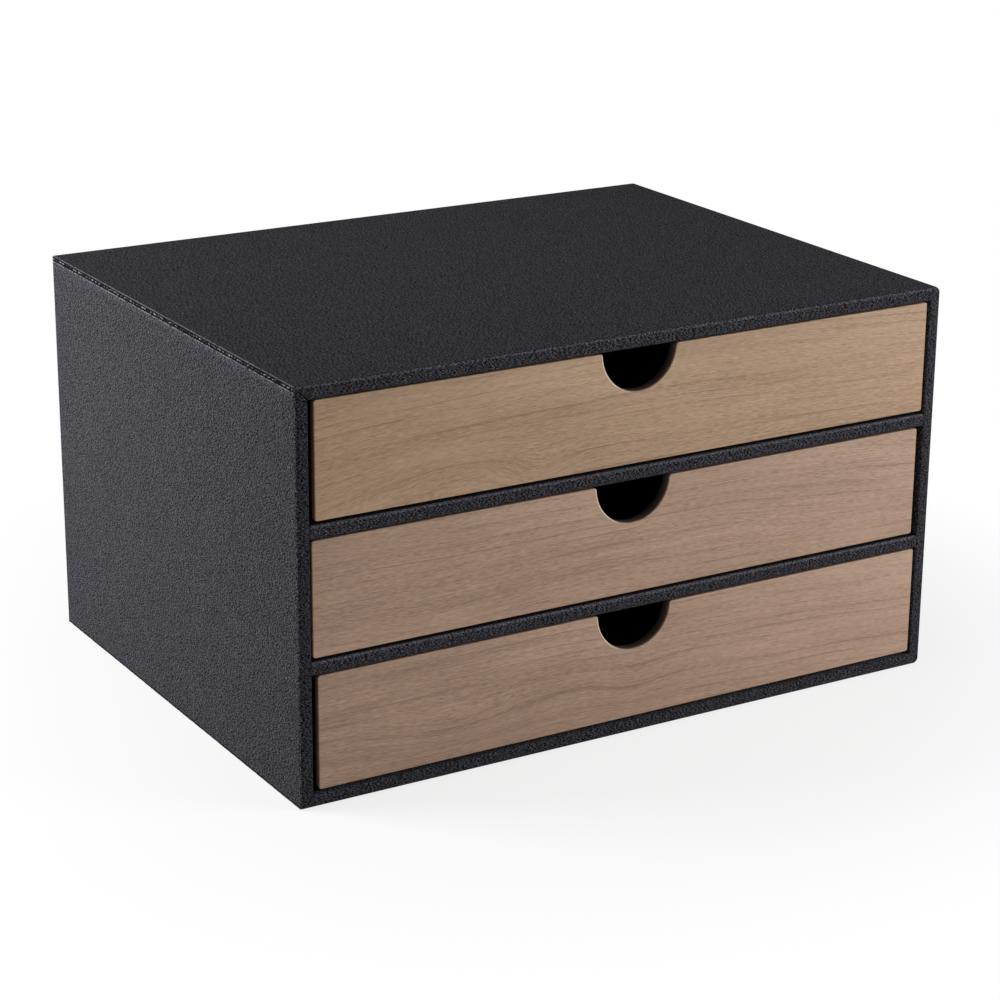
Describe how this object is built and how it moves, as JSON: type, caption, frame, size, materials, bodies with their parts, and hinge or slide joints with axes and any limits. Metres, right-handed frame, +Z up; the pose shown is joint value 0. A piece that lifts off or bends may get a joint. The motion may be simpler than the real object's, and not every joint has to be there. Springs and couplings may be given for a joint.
{
  "type": "desktop drawer box",
  "caption": "Low desktop box with stacked full-width drawers, each with a wood-look front and a half-round finger cut-out, for paper, craft materials and small parts.",
  "frame": {"origin": "centre of the underside, on the surface that the box stands on", "axes": "+X to the right along the front, the longest extent; +Y from the drawer fronts to the back; +Z up, the shortest extent"},
  "size_m": [0.33, 0.252, 0.185],
  "materials": {
    "linen_cover": "matte",
    "black_paper": "matte",
    "wood_look_face": "satin",
    "fibreboard": "matte"
  },
  "bodies": {
    "case": {"base_board": "fibreboard", "right_board": "fibreboard", "top_board": "fibreboard", "left_board": "fibreboard", "back_board": "fibreboard", "lower_shelf_board": "fibreboard", "upper_shelf_board": "fibreboard", "sleeve_cover": "linen_cover", "base_cover": "linen_cover", "left_cover": "linen_cover", "back_cover": "linen_cover", "lower_shelf_cover": "linen_cover", "upper_shelf_cover": "linen_cover", "floor_lining": "black_paper", "right_lining": "black_paper", "ceiling_lining": "black_paper", "left_lining": "black_paper", "back_lining": "black_paper"},
    "bottom_drawer": {"bottom_drawer_wood_face": "wood_look_face", "bottom_drawer_front_board": "fibreboard", "bottom_drawer_tray_front_wall": "fibreboard", "bottom_drawer_tray_back_wall": "fibreboard", "bottom_drawer_tray_left_wall": "fibreboard", "bottom_drawer_tray_right_wall": "fibreboard", "bottom_drawer_tray_bottom": "fibreboard", "bottom_drawer_tray_cover": "black_paper", "bottom_drawer_tray_lining": "black_paper"},
    "middle_drawer": {"middle_drawer_wood_face": "wood_look_face", "middle_drawer_front_board": "fibreboard", "middle_drawer_tray_front_wall": "fibreboard", "middle_drawer_tray_back_wall": "fibreboard", "middle_drawer_tray_left_wall": "fibreboard", "middle_drawer_tray_right_wall": "fibreboard", "middle_drawer_tray_bottom": "fibreboard", "middle_drawer_tray_cover": "black_paper", "middle_drawer_tray_lining": "black_paper"},
    "top_drawer": {"top_drawer_wood_face": "wood_look_face", "top_drawer_front_board": "fibreboard", "top_drawer_tray_front_wall": "fibreboard", "top_drawer_tray_back_wall": "fibreboard", "top_drawer_tray_left_wall": "fibreboard", "top_drawer_tray_right_wall": "fibreboard", "top_drawer_tray_bottom": "fibreboard", "top_drawer_tray_cover": "black_paper", "top_drawer_tray_lining": "black_paper"}
  },
  "joints": [
    {"name": "bottom_drawer_slide", "type": "slide", "parent": "case", "child": "bottom_drawer", "axis": [0, -1, 0], "range_m": [0, 0.2]},
    {"name": "middle_drawer_slide", "type": "slide", "parent": "case", "child": "middle_drawer", "axis": [0, -1, 0], "range_m": [0, 0.2]},
    {"name": "top_drawer_slide", "type": "slide", "parent": "case", "child": "top_drawer", "axis": [0, -1, 0], "range_m": [0, 0.2]}
  ]
}
